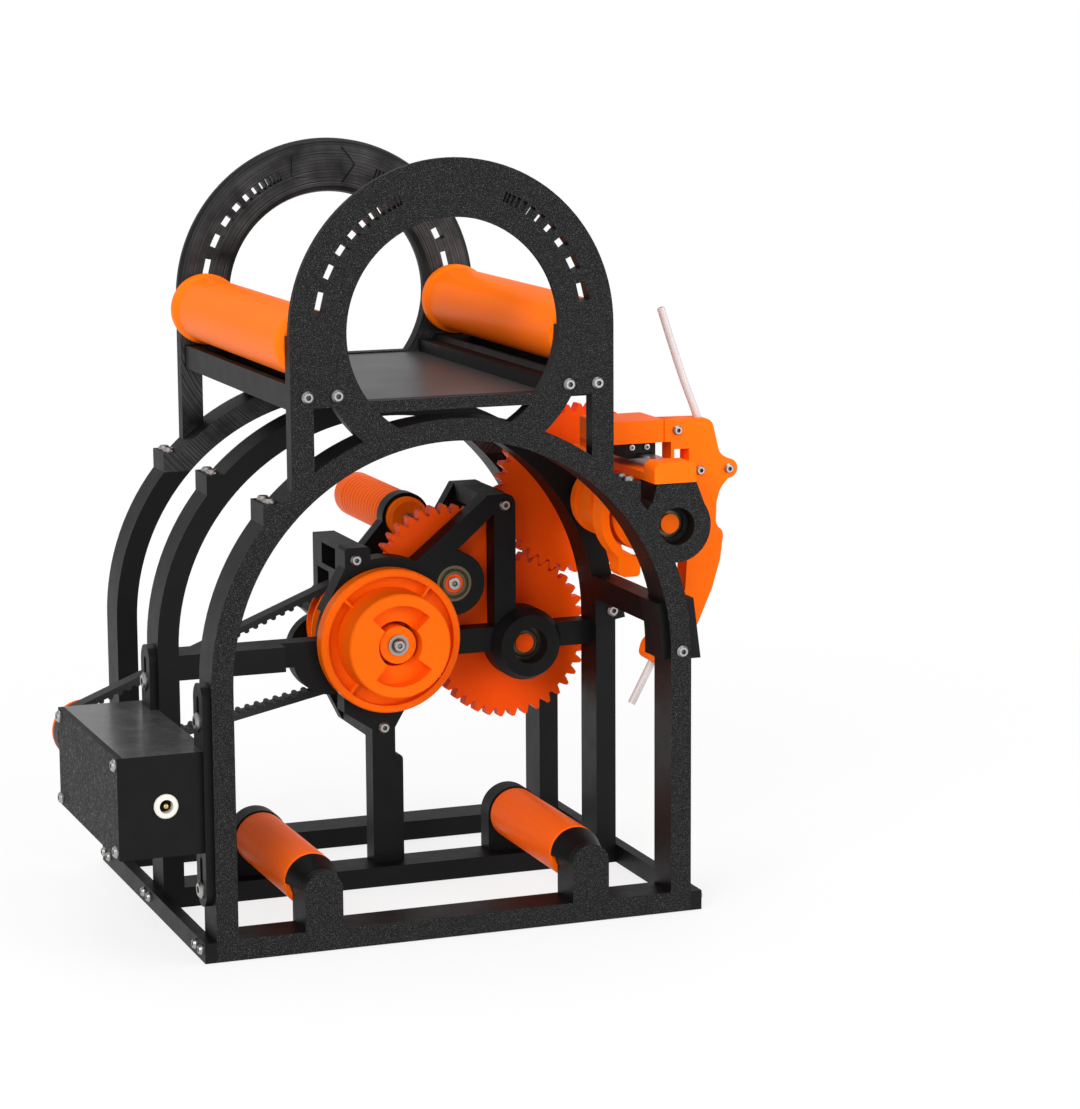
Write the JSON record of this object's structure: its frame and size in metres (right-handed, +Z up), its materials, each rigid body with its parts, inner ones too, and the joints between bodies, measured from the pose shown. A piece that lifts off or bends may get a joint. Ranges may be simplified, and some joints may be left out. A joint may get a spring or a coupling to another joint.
{
  "type": "filament rewinder",
  "caption": "Bench filament rewinder with three arched frames, a roller cradle, a belt-driven spool spindle, a hand crank and a geared barrel-cam level wind.",
  "frame": {"origin": "on the floor, under the middle of the whole machine's box", "axes": "+Z up, -Y towards the open front, +Y towards the crank, +X towards the level wind"},
  "size_m": [0.339, 0.3104, 0.386],
  "materials": {
    "black_print": "satin printed",
    "orange_print": "gloss printed",
    "steel": "satin",
    "belt_rubber": "matte",
    "grey_tray": "gloss",
    "white_plastic": "gloss"
  },
  "bodies": {
    "base": {"frame_front_lower": "black_print", "frame_front_upper": "black_print", "frame_mid_lower": "black_print", "frame_mid_upper": "black_print", "frame_back_lower": "black_print", "frame_back_upper": "black_print", "side_rail_left": "black_print", "side_rail_right": "black_print", "tray_beam_left": "black_print", "tray_beam_right": "black_print", "gear_web": "black_print", "rear_plate": "black_print", "motor_box": "black_print", "motor_cover": "black_print", "cross_beam": "black_print", "jack_core": "black_print", "rail_holder": "orange_print", "bearing_spindle_front": "steel", "bearing_spindle_rear": "steel", "bearing_a_front": "steel", "bearing_a_rear": "steel", "bearing_b_front": "steel", "bearing_b_rear": "steel", "bearing_barrel_front": "steel", "bearing_barrel_mid": "steel", "motor": "steel", "level_rail": "steel", "ring_screws": "steel", "lug_screws": "steel", "rail_screws": "steel", "cover_screws": "steel", "web_screws": "steel", "tab_screws": "steel", "beam_screws": "steel", "belt": "belt_rubber", "tray": "grey_tray", "jack_ring": "white_plastic"},
    "spindle": {"spindle_shaft": "steel", "driver_disc": "orange_print", "disc_screw": "steel", "spindle_pinion": "orange_print", "drive_pulley": "orange_print", "pulley_flange": "orange_print", "crank_arm": "black_print", "crank_cap": "orange_print"},
    "grip": {"crank_grip": "orange_print"},
    "gear_a_body": {"gear_a": "orange_print"},
    "gear_b_body": {"gear_b": "orange_print"},
    "barrel_body": {"barrel": "orange_print", "gear_c": "orange_print"},
    "motor_rotor": {"motor_pulley": "orange_print"},
    "roller_top_left": {"top_roller_left": "orange_print"},
    "roller_top_right": {"top_roller_right": "orange_print"},
    "roller_low_left": {"bottom_roller_left": "orange_print"},
    "roller_low_right": {"bottom_roller_right": "orange_print"},
    "carriage_body": {"carriage": "orange_print", "carriage_block": "black_print", "follower_pin": "steel", "guide_tube": "white_plastic", "carriage_screws": "steel"}
  },
  "joints": [
    {"name": "spindle_spin", "type": "hinge", "parent": "base", "child": "spindle", "pos_m": [0.00346, -0.01325, 0.1305], "axis": [0, 1, 0], "continuous": true},
    {"name": "grip_spin", "type": "hinge", "parent": "spindle", "child": "grip", "pos_m": [0.04827, 0.09675, 0.1769], "axis": [0, 1, 0], "continuous": true},
    {"name": "gear_a_spin", "type": "hinge", "parent": "base", "child": "gear_a_body", "pos_m": [0.04136, -0.01325, 0.15692], "axis": [0, 1, 0], "continuous": true},
    {"name": "gear_b_spin", "type": "hinge", "parent": "base", "child": "gear_b_body", "pos_m": [0.08096, -0.01325, 0.122], "axis": [0, 1, 0], "continuous": true},
    {"name": "barrel_spin", "type": "hinge", "parent": "base", "child": "barrel_body", "pos_m": [0.12054, -0.09025, 0.19937], "axis": [0, 1, 0], "continuous": true},
    {"name": "motor_spin", "type": "hinge", "parent": "base", "child": "motor_rotor", "pos_m": [-0.14804, -0.01325, 0.0845], "axis": [0, 1, 0], "continuous": true},
    {"name": "top_left_spin", "type": "hinge", "parent": "base", "child": "roller_top_left", "pos_m": [-0.06654, -0.04825, 0.298], "axis": [0, 1, 0], "continuous": true},
    {"name": "top_right_spin", "type": "hinge", "parent": "base", "child": "roller_top_right", "pos_m": [0.07346, -0.04825, 0.298], "axis": [0, 1, 0], "continuous": true},
    {"name": "low_left_spin", "type": "hinge", "parent": "base", "child": "roller_low_left", "pos_m": [-0.06684, -0.08725, 0.0303], "axis": [0, 1, 0], "continuous": true},
    {"name": "low_right_spin", "type": "hinge", "parent": "base", "child": "roller_low_right", "pos_m": [0.07376, -0.08725, 0.0303], "axis": [0, 1, 0], "continuous": true},
    {"name": "carriage_slide", "type": "slide", "parent": "base", "child": "carriage_body", "axis": [0, 1, 0], "range_m": [-0.008, 0.048]}
  ],
  "couplings": [
    {"joint": "gear_a_spin", "follows": "spindle_spin", "ratio": -0.22222},
    {"joint": "gear_b_spin", "follows": "spindle_spin", "ratio": 0.051282},
    {"joint": "barrel_spin", "follows": "spindle_spin", "ratio": -0.05},
    {"joint": "motor_spin", "follows": "spindle_spin", "ratio": 2.0667}
  ]
}
